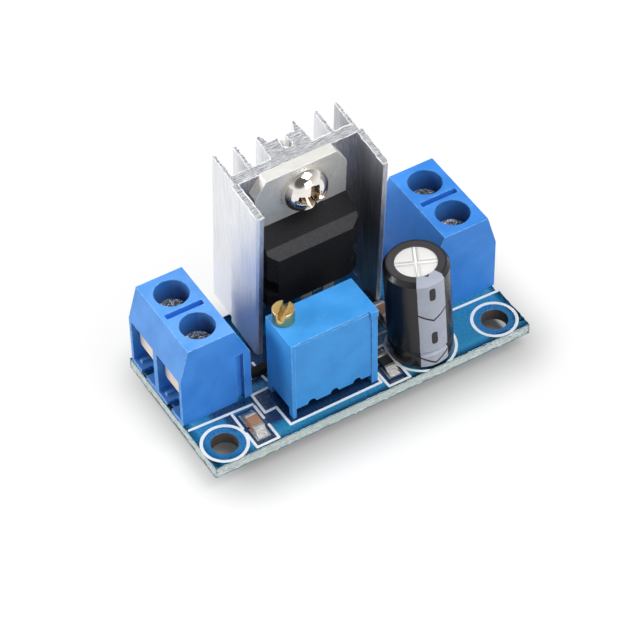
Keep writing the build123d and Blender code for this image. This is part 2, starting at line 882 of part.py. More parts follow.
def chip_ends(spot, height):
    # Tinned ends wrap over the top and under the bottom
    with BuildPart() as ends:
        for way in (-1, 1):
            with Locations((spot[0], spot[1] + way * (chip_length / 2 - chip_end / 2), chip_base_height)):
                Box(chip_width, chip_end, height, align=UP)
    with BuildPart() as wrapped:
        add(ends.part)
        add(chip_body(spot, height).part, mode=Mode.SUBTRACT)
    return wrapped


chips = (
    ("input_chip_capacitor", input_chip_spot, chip_capacitor_height),
    ("second_chip_capacitor", second_chip_spot, chip_capacitor_height),
    ("chip_resistor", resistor_spot, chip_resistor_height),
)
for name, spot, height in chips:
    keep(chip_body(spot, height), name + "_body")
    keep(chip_ends(spot, height), name + "_ends")

diode_plane = Plane((diode_spot[0], diode_spot[1], chip_base_height))
with BuildPart(diode_plane) as diode_leads:
    for way in (-1, 1):
        with Locations((way * (diode_length / 2 - diode_lead_reach / 2), 0, 0)):
            Box(3 * diode_lead_reach, diode_lead_width, diode_lead_thickness, align=UP)
with BuildPart(diode_plane) as diode_body:
    Box(diode_length, diode_width, diode_height, align=UP)
    chamfer(diode_body.edges().group_by(Axis.Z)[-1], diode_chamfer)
keep(diode_leads, "diode_leads")
keep(fitted(diode_body, diode_leads), "diode_body")

with BuildPart() as chip_pads:
    for _, spot, _ in chips:
        for way in (-1, 1):
            with Locations((spot[0], spot[1] + way * chip_length / 2, board_top)):
                Box(chip_pad_width, chip_pad_length + chip_solder_reach / 2, pad_thickness, align=UP)
    for way in (-1, 1):
        with Locations((diode_spot[0] + way * diode_length / 2, diode_spot[1], board_top)):
            Box(diode_pad_size, diode_pad_size, pad_thickness, align=UP)
keep(chip_pads, "chip_pads")


with BuildPart() as chip_solder:
    for _, spot, height in chips:
        wedge_side = Plane((spot[0] - chip_width / 2, 0, chip_base_height), x_dir=(0, 1, 0), z_dir=(1, 0, 0))
        for way in (-1, 1):
            # Hollow fillet from the chip's end down to the outer edge of its pad
            face = spot[1] + way * chip_length / 2
            toe = face + way * chip_solder_reach
            climb = height * solder_climb
            middle = (face + way * chip_solder_reach * 0.45, climb / 2)
            with BuildSketch(wedge_side):
                with BuildLine():
                    Polyline((toe, 0), (face, 0), (face, climb))
                    ThreePointArc((face, climb), middle, (toe, 0))
                make_face()
            extrude(amount=chip_width)
keep(chip_solder, "chip_solder")

# Board, plated holes and the solder round each pin
hole_families = (
    (terminal_pin_spots, terminal_hole_radius, terminal_pad_radius),
    (regulator_lead_spots, regulator_hole_radius, regulator_pad_radius),
    (trimmer_pin_spots, trimmer_hole_radius, trimmer_pad_radius),
    (capacitor_lead_spots, capacitor_hole_radius, capacitor_pad_radius),
)
mounting_hole_spots = [(-mounting_hole_pitch / 2, 0), (mounting_hole_pitch / 2, 0)]
with BuildPart() as board:
    with BuildSketch():
        with Locations((board_middle, board_front + board_depth / 2)):
            Rectangle(board_length, board_depth)
        with Locations(*mounting_hole_spots):
            Circle(mounting_hole_diameter / 2, mode=Mode.SUBTRACT)
        for spots, hole_radius, _ in hole_families:
            with Locations(*spots):
                RegularPolygon(hole_radius + plating_wall, hole_flats, mode=Mode.SUBTRACT)
    extrude(amount=board_thickness)
keep(board, "board")

with BuildPart() as plated_holes:
    for spots, hole_radius, pad_radius in hole_families:
        with BuildSketch():
            with Locations(*spots):
                RegularPolygon(hole_radius + plating_wall, hole_flats)
        extrude(amount=board_thickness)
        for pad_bottom in (-pad_thickness, board_top):
            with BuildSketch(Plane.XY.offset(pad_bottom)):
                with Locations(*spots):
                    RegularPolygon(pad_radius, hole_flats)
            extrude(amount=pad_thickness)
        with BuildSketch(Plane.XY.offset(-pad_thickness)):
            with Locations(*spots):
                RegularPolygon(hole_radius, hole_flats)
        extrude(amount=board_thickness + 2 * pad_thickness, mode=Mode.SUBTRACT)
keep(plated_holes, "plated_holes")

with BuildPart() as pin_solder:
    for spots, hole_radius, pad_radius in hole_families:
        foot_radius = pad_radius * solder_foot
        lean = degrees(atan((foot_radius - hole_radius) / solder_height))
        with BuildSketch(Plane.XY.offset(-pad_thickness)):
            with Locations(*spots):
                RegularPolygon(hole_radius, hole_flats)
        extrude(amount=board_thickness + pad_thickness)
        with BuildSketch(Plane.XY.offset(-pad_thickness)):
            with Locations(*spots):
                RegularPolygon(foot_radius, hole_flats)
        extrude(amount=-solder_height, taper=lean)
    for cage in terminal_cages:
        add(cage.part, mode=Mode.SUBTRACT)
    add(regulator_leadframe.part, mode=Mode.SUBTRACT)
    add(regulator_left_lead.part, mode=Mode.SUBTRACT)
    add(regulator_right_lead.part, mode=Mode.SUBTRACT)
    add(trimmer_pin_set.part, mode=Mode.SUBTRACT)
    for capacitor_lead in capacitor_leads.values():
        add(capacitor_lead.part, mode=Mode.SUBTRACT)
keep(pin_solder, "pin_solder")
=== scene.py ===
import bpy
import json
from math import atan2, cos, radians, sin
from mathutils import Matrix, Vector


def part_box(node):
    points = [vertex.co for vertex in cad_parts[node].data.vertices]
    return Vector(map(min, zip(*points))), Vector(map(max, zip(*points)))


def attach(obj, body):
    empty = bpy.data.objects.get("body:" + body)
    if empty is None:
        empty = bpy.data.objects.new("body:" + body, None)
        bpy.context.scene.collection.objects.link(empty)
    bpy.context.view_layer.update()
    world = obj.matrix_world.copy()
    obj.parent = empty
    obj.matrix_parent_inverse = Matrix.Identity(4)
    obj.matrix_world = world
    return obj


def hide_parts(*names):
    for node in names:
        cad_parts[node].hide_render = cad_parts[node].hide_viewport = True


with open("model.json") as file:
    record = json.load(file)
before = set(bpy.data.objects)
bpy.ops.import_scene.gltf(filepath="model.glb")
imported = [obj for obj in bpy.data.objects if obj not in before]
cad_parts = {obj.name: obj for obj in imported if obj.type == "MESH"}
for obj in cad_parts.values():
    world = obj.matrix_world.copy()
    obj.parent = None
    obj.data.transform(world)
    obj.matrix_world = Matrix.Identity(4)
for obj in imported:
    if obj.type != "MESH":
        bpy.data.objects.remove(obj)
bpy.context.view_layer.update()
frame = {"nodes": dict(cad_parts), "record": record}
nodes = frame["nodes"]
bodies = frame["record"]["behaviour"]["bodies"]
bodyOf = {node: body for body, members in bodies.items() for node in members}
slotOf = {entry["node"]: entry["material_slot"] for entry in frame["record"]["subparts"]}
mm = 0.001
print("frame loaded:", len(nodes), "nodes")


def boxOf(name):
    # A CAD node's two box corners, in mm
    return [[side / mm for side in corner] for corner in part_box(name)]


boardLow, boardHigh = boxOf("board")
boardTop = boardHigh[2]

# Camera, solved from the photograph, in mm and degrees; the clip distances are in m
view = {
    "target": (-1.6895, 4.9526, 6.4),
    "distance": 284.465,
    "azimuth": -30.46,
    "elevation": 46.615,
    "roll": -1.062,
    "lens": 166.02,
    "sensor": 36,
    "clip": (0.01, 10),
}


def towardsCamera():
    azimuth = radians(view["azimuth"])
    elevation = radians(view["elevation"])
    return Vector((sin(azimuth) * cos(elevation), -cos(azimuth) * cos(elevation), sin(elevation)))


def placeCamera():
    roll = radians(view["roll"])
    back = towardsCamera()
    flatRight = (-back).cross(Vector((0, 0, 1))).normalized()
    flatUp = flatRight.cross(-back)
    right = flatRight * cos(roll) + flatUp * sin(roll)
    up = flatUp * cos(roll) - flatRight * sin(roll)
    turn = Matrix((right, up, back)).transposed().to_4x4()
    spot = Vector(view["target"]) * mm + back * view["distance"] * mm
    bpy.ops.object.camera_add()
    camera = bpy.context.object
    camera.name = "photo_camera"
    camera.matrix_world = Matrix.Translation(spot) @ turn
    camera.data.lens = view["lens"]
    camera.data.sensor_width = view["sensor"]
    camera.data.clip_start, camera.data.clip_end = view["clip"]
    bpy.context.scene.camera = camera


placeCamera()


# A socket of a node tree that can be used in sums
class Wire:
    def __init__(self, tree, socket):
        self.tree = tree
        self.socket = socket

    def make(self, kind, settings=None, sockets=None, out=0):
        node = self.tree.nodes.new(kind)
        for name, value in (settings or {}).items():
            setattr(node, name, value)
        for name, value in (sockets or {}).items():
            if isinstance(value, Wire):
                self.tree.links.new(value.socket, node.inputs[name])
            else:
                node.inputs[name].default_value = value
        return Wire(self.tree, node.outputs[out])

    def math(self, operation, *values):
        return self.make("ShaderNodeMath", {"operation": operation}, dict(enumerate(values)))

    def __add__(self, other):
        return self.math("ADD", self, other)

    def __radd__(self, other):
        return self.math("ADD", other, self)

    def __sub__(self, other):
        return self.math("SUBTRACT", self, other)

    def __rsub__(self, other):
        return self.math("SUBTRACT", other, self)

    def __mul__(self, other):
        return self.math("MULTIPLY", self, other)

    def __abs__(self):
        return self.math("ABSOLUTE", self)


def step(wire, low, high):
    # 0 below low, 1 above high, smooth between
    ease = {"interpolation_type": "SMOOTHSTEP"}
    sockets = {"Value": wire, "From Min": low, "From Max": high}
    return wire.make("ShaderNodeMapRange", ease, sockets)


def fade(wire, low, high):
    # 1 below low, 0 above high, smooth between
    return 1 - step(wire, low, high)


def blend(factor, first, second):
    # Mixes two colours, each a wire or a triple
    tones = [tone if isinstance(tone, Wire) else (*tone, 1) for tone in (first, second)]
    sockets = {0: factor, 6: tones[0], 7: tones[1]}
    return factor.make("ShaderNodeMix", {"data_type": "RGBA"}, sockets, out=2)


def larger(first, second):
    return first.math("MAXIMUM", first, second)


def smaller(first, second):
    return first.math("MINIMUM", first, second)


def largest(wires):
    result = wires[0]
    for wire in wires[1:]:
        result = larger(result, wire)
    return result


def distance(x, y):
    return x.math("SQRT", x * x + y * y)


def noise(place, scale, detail=3, stretch=None, turn=None, rough=0.55):
    # Noise by scale per millimetre, stretched along the axes where asked
    if stretch or turn:
        sockets = {"Vector": place, "Scale": stretch or (1, 1, 1), "Rotation": turn or (0, 0, 0)}
        place = place.make("ShaderNodeMapping", None, sockets)
    sockets = {"Vector": place, "Scale": scale, "Detail": detail, "Roughness": rough}
    return place.make("ShaderNodeTexNoise", None, sockets)


def axesOf(place):
    split = place.make("ShaderNodeSeparateXYZ", None, {0: place})
    node = split.socket.node
    return [Wire(place.tree, node.outputs[axis]) for axis in range(3)]


def placeOn(tree):
    # Where a spot lies on its object, in mm
    place = Wire(tree, tree.nodes.new("ShaderNodeTexCoord").outputs["Object"])
    sockets = {"Vector": place, "Scale": 1 / mm}
    return place.make("ShaderNodeVectorMath", {"operation": "SCALE"}, sockets)


def raysOf(tree):
    # 1 for what the camera sees itself, and 1 for what is seen mirrored
    path = tree.nodes.new("ShaderNodeLightPath").outputs
    return Wire(tree, path["Is Camera Ray"]), Wire(tree, path["Is Glossy Ray"])


def newMaterial(name, fixed, varied):
    # fixed sets the shader's own sockets, varied returns what changes over the surface
    material = bpy.data.materials.new(name)
    material.use_nodes = True
    tree = material.node_tree
    shader = tree.nodes["Principled BSDF"]
    for socket, value in fixed.items():
        shader.inputs[socket].default_value = value
    place = placeOn(tree)
    for socket, value in varied(place).items():
        if socket == "bump":
            height, depth = value
            sockets = {"Height": height, "Distance": depth * mm, "Strength": 1.0}
            value = place.make("ShaderNodeBump", None, sockets)
            socket = "Normal"
        tree.links.new(value.socket, shader.inputs[socket])
    return material


def plainFinish(name, deep, lit, rough, grain=6.0, depth=0.01, metal=1.0):
    # Two tones in clouds, with a fine grain
    def varied(place):
        cloud = noise(place, grain / 8, detail=4)
        speckle = noise(place, grain, detail=4, rough=0.65)
        return {
            "Base Color": blend(cloud, deep, lit),
            "Roughness": rough + speckle * 0.18 + cloud * 0.08,
            "bump": (speckle + cloud, depth),
        }
    return newMaterial(name, {"Metallic": metal}, varied)


print("materials")
# Of each blue plastic: deep tone, lit tone, roughness, clouds per mm
plasticTones = {
    "terminal_plastic": ((0.030, 0.220, 0.700), (0.050, 0.275, 0.800), 0.34, 0.35),
    "trimmer_plastic": ((0.032, 0.275, 0.700), (0.048, 0.330, 0.800), 0.36, 0.35),
    # a paler copy of the terminal plastic: painted sheen on the left block
    "terminal_painted_sheen": ((0.070, 0.275, 0.720), (0.110, 0.340, 0.820), 0.38, 0.35),
    # pale tones for rounded edges: wear, and a painted highlight along them
    "terminal_wear_and_highlight": ((0.060, 0.290, 0.760), (0.340, 0.620, 0.950), 0.42, 2.2),
    "trimmer_wear_and_highlight": ((0.045, 0.320, 0.780), (0.340, 0.620, 0.950), 0.42, 2.2),
}
well = {
    # the terminals' screw wells, drawn with painted shade inside; heights above the board
    "radius": 1.8,
    "soft": 0.04,
    "floor": 7.0,
    "rim": 10.4,
    "paler": 0.6,
    "tone": (0.012, 0.050, 0.180),
    "share": 0.75,
}


def wellMiddles():
    middles = []
    for side in ("left", "right"):
        for end in ("front", "back"):
            low, high = boxOf(side + "_" + end + "_terminal_screw")
            middles.append([(low[axis] + high[axis]) / 2 for axis in (0, 1)])
    return middles


def wellShade(place):
    # Painted shade: 1 inside the wells, less towards their rims
    x, y, z = axesOf(place)
    near, far = well["radius"] - well["soft"], well["radius"] + well["soft"]
    discs = [fade(distance(x - midX, y - midY), near, far) for midX, midY in wellMiddles()]
    rise = step(z, boardTop + well["floor"], boardTop + well["rim"])
    return largest(discs) * (1 - rise * well["paler"])


def mouldedPlastic(name):
    deep, lit, rough, clouds = plasticTones[name]

    def varied(place):
        cloud = step(noise(place, clouds, detail=4), 0.30, 0.70)
        grain = noise(place, 16)
        specks = step(noise(place, 5.5, detail=2, rough=0.4), 0.68, 0.75)
        lengthwise = noise(place, 1.0, detail=1, stretch=(0.25, 6, 6), turn=(0.3, 0.2, 0.5))
        crosswise = noise(place, 1.0, detail=1, stretch=(7, 0.3, 5), turn=(0.1, 0.7, 0.2))
        scratches = step(lengthwise, 0.735, 0.76) + step(crosswise, 0.745, 0.77)
        worn = smaller(specks * 0.25 + scratches * 0.18, 0.4)
        colour = blend(cloud, deep, lit)
        if name.startswith("terminal"):
            # painted shade inside the screw wells
            colour = blend(wellShade(place) * well["share"], colour, well["tone"])
        return {
            "Base Color": blend(worn, colour, (0.35, 0.55, 0.85)),
            "Roughness": rough + grain * 0.16 + cloud * 0.08 + worn * 0.4,
            "bump": (grain + cloud * 0.6 - worn * 1.5, 0.006),
        }
    return newMaterial(name, {"IOR": 1.5, "Specular IOR Level": 0.42}, varied)


plastic = {name: mouldedPlastic(name) for name in plasticTones}

boardPlan = {
    "hole": 15.35,
    # squares of distances from a hole's middle: its wall lies within the first, and the tone of
    # its copper ring fades between the next two
    "wall": 3,
    "annulus": (4.6, 5.0),
    # painted sheen: the mask is paler towards the front edge
    "front": (-2.5, -0.6),  # y between which the paler front strip fades
}
maskTones = {
    "copper": (0.010, 0.150, 0.315),
    "light": (0.018, 0.205, 0.390),
    "front": (0.045, 0.310, 0.500),
    "bare": (0.007, 0.030, 0.088),
    "annulus": (0.014, 0.140, 0.330),
}
bareSpots = [
    # Where no copper lies under the mask: edge softness, middle x and y, half sizes
    (0.10, -11.8, 0.35, 1.15, 2.3),
    (0.45, -12.0, 3.6, 2.9, 0.6),
    (0.35, -13.4, 2.0, 0.5, 1.0),
    (0.40, -9.65, 1.9, 1.1, 2.2),
    (0.10, 3.05, 0.4, 1.15, 2.4),
    (0.12, -3.6, 1.4, 5.1, 2.6),
    (0.30, -1.0, 7.6, 8.6, 2.6),
]


def bareShare(place):
    # 1 where no copper lies under the mask
    x, y, _ = axesOf(place)
    wander = (noise(place, 0.9, detail=2) - 0.5) * 0.25
    spots = []
    for soft, middleX, middleY, halfX, halfY in bareSpots:
        insideX = fade(abs(x - middleX) + wander, halfX - soft, halfX + soft)
        insideY = fade(abs(y - middleY) + wander, halfY - soft, halfY + soft)
        spots.append(insideX * insideY)
    return largest(spots)


def maskVaried(place):
    bare = bareShare(place)
    x, y, _ = axesOf(place)
    beside = abs(x) - boardPlan["hole"]
    annulus = fade(beside * beside + y * y, *boardPlan["annulus"])
    cloud = noise(place, 0.4)
    weave = noise(place, 3.2, detail=2)
    copper = blend(cloud, maskTones["copper"], maskTones["light"])
    # painted sheen towards the front edge
    copper = blend(fade(y, *boardPlan["front"]) * 0.7, copper, maskTones["front"])
    copper = blend(annulus, copper, maskTones["annulus"])
    return {
        "Base Color": blend(bare, copper, maskTones["bare"]),
        "Roughness": 0.22 + weave * 0.12,
        "bump": ((1 - bare) * 0.8 + weave * 0.25, 0.02),
    }


maskFixed = {"IOR": 1.5, "Coat Weight": 0.4, "Coat Roughness": 0.12}
boardMask = newMaterial("board_mask", maskFixed, maskVaried)


def edgeVaried(place):
    layers = noise(place, 1.0, stretch=(2.5, 2.5, 9))
    chips = noise(place, 4.5, detail=4, rough=0.7)
    threads = noise(place, 1.0, detail=2, stretch=(2.2, 2.2, 16), rough=0.7)
    fibres = step(threads, 0.56, 0.66)
    tone = blend(layers, (0.44, 0.56, 0.53), (0.78, 0.86, 0.84))
    tone = blend(step(chips, 0.45, 0.7), tone, (0.86, 0.92, 0.90))
    return {
        "Base Color": blend(fibres * 0.75, tone, (0.90, 0.93, 0.92)),
        "Roughness": 0.55 + chips * 0.3,
        "bump": (layers * 0.6 + chips + fibres * 0.5, 0.12),
    }


boardEdge = newMaterial("board_edge", {"Specular IOR Level": 0.35}, edgeVaried)

tower = {
    # the heatsink's lean in degrees
    "leanX": 5.6,
    "leanY": -1.15,
    # heights above the board between which it goes from dull to mirroring
    "dull": (3.5, 9.0),
    # its channel's side walls stand further out from the middle than this
    "inner": 5,
}
towerTurn = (radians(-tower["leanX"]), radians(-tower["leanY"]), 0)


def extrudedVaried(place):
    lines = noise(place, 1.0, detail=5, stretch=(11, 11, 0.10), turn=towerTurn, rough=0.75)
    broad = noise(place, 1.0, detail=2, stretch=(1.6, 1.6, 0.05), turn=towerTurn)
    scuffs = step(noise(place, 2.2, detail=5, rough=0.75), 0.60, 0.72)
    dull = fade(axesOf(place)[2], *[boardTop + height for height in tower["dull"]])
    tone = blend(broad, (0.78, 0.79, 0.82), (0.95, 0.95, 0.96))
    tone = blend(step(lines, 0.46, 0.60) * 0.5, tone, (0.58, 0.59, 0.63))
    tone = blend(dull * 0.8, tone, (0.94, 0.94, 0.96))
    return {
        "Base Color": blend(scuffs * 0.30, tone, (0.55, 0.56, 0.60)),
        "Roughness": 0.28 + lines * 0.16 + scuffs * 0.14,
        "Metallic": 0.82 - dull * 0.78,
        "bump": (lines + broad * 0.8, 0.035),
    }


extrudedAluminium = newMaterial("extruded_aluminium", {}, extrudedVaried)


def innerShadeVaried(place):
    # The channel's walls, drawn darker as painted shade, and streaked
    lines = noise(place, 1.0, detail=5, stretch=(7, 7, 0.12), turn=towerTurn, rough=0.8)
    broad = noise(place, 1.0, detail=2, stretch=(1.2, 1.2, 0.06), turn=towerTurn)
    streak = step(lines, 0.42, 0.66)
    tone = blend(broad, (0.34, 0.345, 0.375), (0.56, 0.565, 0.60))
    return {
        "Base Color": blend(streak * 0.7, tone, (0.78, 0.78, 0.82)),
        "Roughness": 0.32 + lines * 0.20,
        "bump": (lines + broad * 0.8, 0.030),
    }


shadedInnerAluminium = newMaterial("inner_aluminium_painted_shade", {"Metallic": 1.0}, innerShadeVaried)


def sawnVaried(place):
    # Saw marks across the cut end, a little curved
    arcs = place.make(
        "ShaderNodeTexWave",
        {"wave_type": "BANDS", "bands_direction": "DIAGONAL"},
        {"Vector": place, "Scale": 2.4, "Distortion": 2.5, "Detail": 3, "Detail Scale": 1.2},
    )
    grit = noise(place, 7, detail=4, rough=0.7)
    streaks = noise(place, 1.0, detail=4, stretch=(1.2, 9, 2), turn=(0, 0, 0.35), rough=0.7)
    torn = step(noise(place, 2.6, detail=4, rough=0.75), 0.56, 0.66)
    tone = blend(step(streaks, 0.30, 0.70), (0.26, 0.265, 0.285), (0.74, 0.75, 0.78))
    return {
        "Base Color": blend(torn * 0.5, tone, (0.92, 0.93, 0.95)),
        "Roughness": 0.36 + grit * 0.2,
        "bump": (arcs * 0.4 + grit * 0.8 + streaks, 0.06),
    }


sawnAluminium = newMaterial("sawn_aluminium", {"Metallic": 1.0}, sawnVaried)
burrAluminium = plainFinish(
    "burr_aluminium", (0.74, 0.75, 0.77), (0.98, 0.98, 0.99), 0.34, grain=9.0, metal=0.3
)


def zincVaried(place):
    # Screw ends with torn turning marks, and painted reflections in dark and sparkling bright
    # patches
    torn = noise(place, 3.4, detail=5, rough=0.8)
    fine = noise(place, 9)
    return {
        "Base Color": blend(step(torn, 0.44, 0.58), (0.10, 0.11, 0.14), (0.90, 0.91, 0.93)),
        "Roughness": 0.18 + fine * 0.2,
        "bump": (torn + fine * 0.3, 0.20),
    }


wellZincReflections = newMaterial("well_zinc_painted_reflections", {"Metallic": 0.75}, zincVaried)


def tabVaried(place):
    cloud = noise(place, 0.9, detail=4)
    grain = noise(place, 9, detail=4, rough=0.7)
    pits = step(noise(place, 6.5, rough=0.6), 0.62, 0.70)
    smears = noise(place, 1.0, detail=2, stretch=(1.4, 9, 5), turn=(0.4, 0.2, 0.6))
    tone = blend(cloud, (0.52, 0.515, 0.50), (0.72, 0.715, 0.69))
    tone = blend(step(smears, 0.66, 0.74) * 0.4, tone, (0.80, 0.79, 0.77))
    return {
        "Base Color": blend(pits * 0.85, tone, (0.11, 0.105, 0.10)),
        "Roughness": 0.44 + grain * 0.22,
        "bump": (grain - pits * 1.5, 0.03),
    }


plainTab = newMaterial("plain_tab", {"Metallic": 0.85}, tabVaried)
tabEdge = plainFinish(
    "tab_edge", (0.66, 0.65, 0.62), (0.84, 0.83, 0.80), 0.40, grain=7.0, depth=0.04, metal=0.45
)

panScrew = {
    "radius": 2.5,
    "height": 2.0,
    "shank": 1.5,
    "length": 5.0,
    # the cross recess: its arms' length and width, depth, turn and how far they narrow
    "arm": 4.5,
    "slot": 1.35,
    "depth": 1.5,
    "turn": -12,
    "taper": 0.34,
    "edge": 0.07,
}


def screwSeat():
    # Where the head sits and which way it faces, read from the CAD screw
    mesh = nodes["heatsink_screw"].data
    end = max(mesh.polygons, key=lambda face: face.center.y)
    out = -end.normal
    flat = [face for face in mesh.polygons if (face.normal - end.normal).length < 0.01]
    flat = [face for face in flat if abs((face.center - end.center).dot(out)) < 0.01 * mm]
    corners = [mesh.vertices[i].co for face in flat for i in face.vertices]
    low = Vector([min(corner[axis] for corner in corners) for axis in range(3)])
    high = Vector([max(corner[axis] for corner in corners) for axis in range(3)])
    right = Vector((1, 0, 0))
    right = (right - out * right.dot(out)).normalized()
    turn = Matrix((right, out.cross(right), out)).transposed().to_4x4()
    return Matrix.Translation((low + high) / 2 + out * panScrew["length"] * mm) @ turn


def polishedVaried(place):
    haze = noise(place, 1.6, detail=4)
    marks = step(noise(place, 9, stretch=(1, 0.2, 1), rough=0.7), 0.62, 0.75)
    # The cross recess is the part that lies inside the dome's surface; painted shade darkens it
    seat = screwSeat()
    middle, out = seat.translation / mm, seat.to_3x3().col[2]
    x, y, z = [wire - middle[axis] for axis, wire in enumerate(axesOf(place))]
    height = x * out.x + y * out.y + z * out.z
    square = x * x + y * y + z * z - height * height
    fullness = square * panScrew["radius"] ** -2 + height * height * panScrew["height"] ** -2
    recessShade = fade(fullness, 0.80, 0.92) * step(height, 0.1, 0.3)
    tone = blend(haze, (0.78, 0.74, 0.69), (0.92, 0.88, 0.83))
    return {
        "Base Color": blend(recessShade * 0.85, tone, (0.46, 0.36, 0.27)),
        "Roughness": 0.06 + haze * 0.06 + marks * 0.10,
        "bump": (haze, 0.006),
    }


brightNickel = newMaterial("bright_nickel", {"Metallic": 1.0}, polishedVaried)


def brassVaried(place):
    rings = noise(place, 1.0, detail=4, stretch=(0.6, 0.6, 14))
    stain = noise(place, 1.8, detail=4)
    return {
        "Base Color": blend(stain, (0.62, 0.40, 0.13), (0.84, 0.61, 0.27)),
        "Roughness": 0.18 + rings * 0.14,
        "bump": (rings, 0.012),
    }


turnedBrass = newMaterial("turned_brass", {"Metallic": 1.0}, brassVaried)


def grainyMoulding(name, deep, lit, speck):
    def varied(place):
        grain = noise(place, 14, detail=4, rough=0.7)
        cloud = noise(place, 2.4, detail=4, rough=0.7)
        specks = step(noise(place, 8, rough=0.7), 0.56, 0.70)
        return {
            "Base Color": blend(specks * 0.6, blend(cloud, deep, lit), speck),
            "Roughness": 0.54 + grain * 0.24,
            "bump": (grain + specks, 0.035),
        }
    return newMaterial(name, {"IOR": 1.5, "Specular IOR Level": 0.18}, varied)


blackMoulding = grainyMoulding(
    "black_moulding", (0.005, 0.005, 0.006), (0.014, 0.014, 0.016), (0.07, 0.065, 0.07)
)
# a paler copy of the black moulding: painted highlight on the regulator's brow
browHighlightMoulding = grainyMoulding(
    "moulding_brow_highlight", (0.028, 0.027, 0.029), (0.075, 0.072, 0.075), (0.16, 0.155, 0.16)
)

# Capacitor sleeve: black with a pale stripe that has dark marks and arrow lines
sleeve = {
    "foot": (7.35, 0.95, boardTop + 0.28),
    "lean": (0.0402, -0.0349),  # shift of the axis per height, towards -X and +Y
    "radius": 3.25,
    # the stripe's middle and half width, in degrees around
    "middle": -94.9,
    "half": 26.9,
    # heights of its marks up the side
    "bars": (3.8, 9.7),
    "arrows": (0.37, 6.2, 12.3),
    "ink": (0.41, 0.44, 0.53),
}


def sleeveBar(length, around, level):
    # An upright bar with rounded ends
    high, wide = (length - level) * 1.25, around * 3.0
    high, wide = high * high, wide * wide
    return fade(high * high + wide * wide, 0.85, 1.15)


def sleeveArrow(length, around, level):
    return fade(abs(length - level - abs(around) * 0.62), 0.09, 0.15)


def sleeveVaried(place):
    x, y, z = axesOf(place)
    height = z - sleeve["foot"][2]
    offX = x - sleeve["foot"][0] + height * sleeve["lean"][0]
    offY = y - sleeve["foot"][1] + height * sleeve["lean"][1]
    # Turned so that the stripe's middle is at angle 0
    middle = radians(sleeve["middle"])
    along = offX * cos(middle) + offY * sin(middle)
    across = offY * cos(middle) - offX * sin(middle)
    around = along.math("ARCTAN2", across, along) * sleeve["radius"]
    inset = larger(sleeve["radius"] - distance(offX, offY), 0.0)
    length = height + inset  # up the side, then inwards over the rim
    half = radians(sleeve["half"]) * sleeve["radius"]
    ragged = (noise(place, 1.2, detail=2) - 0.5) * 0.10
    stripe = fade(abs(around) + ragged, half - 0.03, half + 0.03)
    marks = [sleeveBar(length, around, level) for level in sleeve["bars"]]
    marks += [sleeveArrow(length, around, level) for level in sleeve["arrows"]]
    ink = stripe * (1 - largest(marks))
    crease = noise(place, 0.9, detail=4)
    fine = noise(place, 6)
    ripple = noise(place, 1.0, stretch=(0.5, 0.5, 2.6))
    # The film on the rim is stretched thin and paler
    film = blend(step(inset, 0.25, 0.60) * 0.9, (0.008, 0.007, 0.009), (0.060, 0.056, 0.060))
    return {
        "Base Color": blend(ink * (0.82 + crease * 0.3), film, sleeve["ink"]),
        "Roughness": 0.20 + fine * 0.08 + ink * 0.16,
        "bump": (crease * 0.8 + ripple * 0.7 + fine * 0.12, 0.05),
    }


sleeveFilm = newMaterial("sleeve_film", {"IOR": 1.5, "Specular IOR Level": 0.40}, sleeveVaried)

# The can's top: its height, and the turn of the cross pressed into it
canTop = {"height": 11.2, "turn": -26}


def canVaried(place):
    x, y, _ = axesOf(place)
    offX = x - (sleeve["foot"][0] - canTop["height"] * sleeve["lean"][0])
    offY = y - (sleeve["foot"][1] - canTop["height"] * sleeve["lean"][1])
    turn = radians(canTop["turn"])
    first = abs(offX * cos(turn) + offY * sin(turn))
    second = abs(offY * cos(turn) - offX * sin(turn))
    nearest = smaller(first, second)
    # painted highlight on the cross's ridges, and painted shade on their flanks
    ridgeHighlight = fade(nearest, 0.12, 0.17)
    flankShade = step(nearest, 0.13, 0.18) * fade(nearest, 0.22, 0.50)
    cloud = noise(place, 1.1, detail=4)
    grain = noise(place, 7, detail=4, rough=0.65)
    tone = blend(cloud, (0.88, 0.87, 0.85), (0.96, 0.95, 0.94))
    tone = blend(flankShade * 0.5, tone, (0.62, 0.61, 0.60))
    return {
        "Base Color": blend(ridgeHighlight, tone, (0.98, 0.98, 0.97)),
        "Metallic": 0.25 - ridgeHighlight * 0.15,
        "Roughness": 0.40 + grain * 0.20,
        "bump": (ridgeHighlight * 2.5 - flankShade * 1.2 + grain * 0.3, 0.04),
    }


canAluminium = newMaterial("can_aluminium", {"IOR": 1.5}, canVaried)

# Plain metals: name, deep tone, lit tone, roughness, grain per mm, bump depth
plainMetals = [
    ("tinned_copper", (0.58, 0.58, 0.57), (0.76, 0.76, 0.74), 0.34, 6.0, 0.01),
    ("tinned_pad", (0.62, 0.61, 0.57), (0.82, 0.81, 0.77), 0.28, 6.0, 0.01),
    ("clamp_steel", (0.52, 0.52, 0.51), (0.72, 0.71, 0.69), 0.30, 6.0, 0.01),
    ("guard_steel", (0.70, 0.60, 0.52), (0.90, 0.81, 0.72), 0.32, 4.0, 0.01),
    ("chip_ends", (0.46, 0.45, 0.43), (0.68, 0.67, 0.64), 0.36, 7.0, 0.01),
    ("bright_solder", (0.20, 0.20, 0.19), (0.58, 0.57, 0.55), 0.26, 3.5, 0.16),
    ("contact_bronze", (0.62, 0.42, 0.22), (0.80, 0.60, 0.36), 0.28, 6.0, 0.01),
]
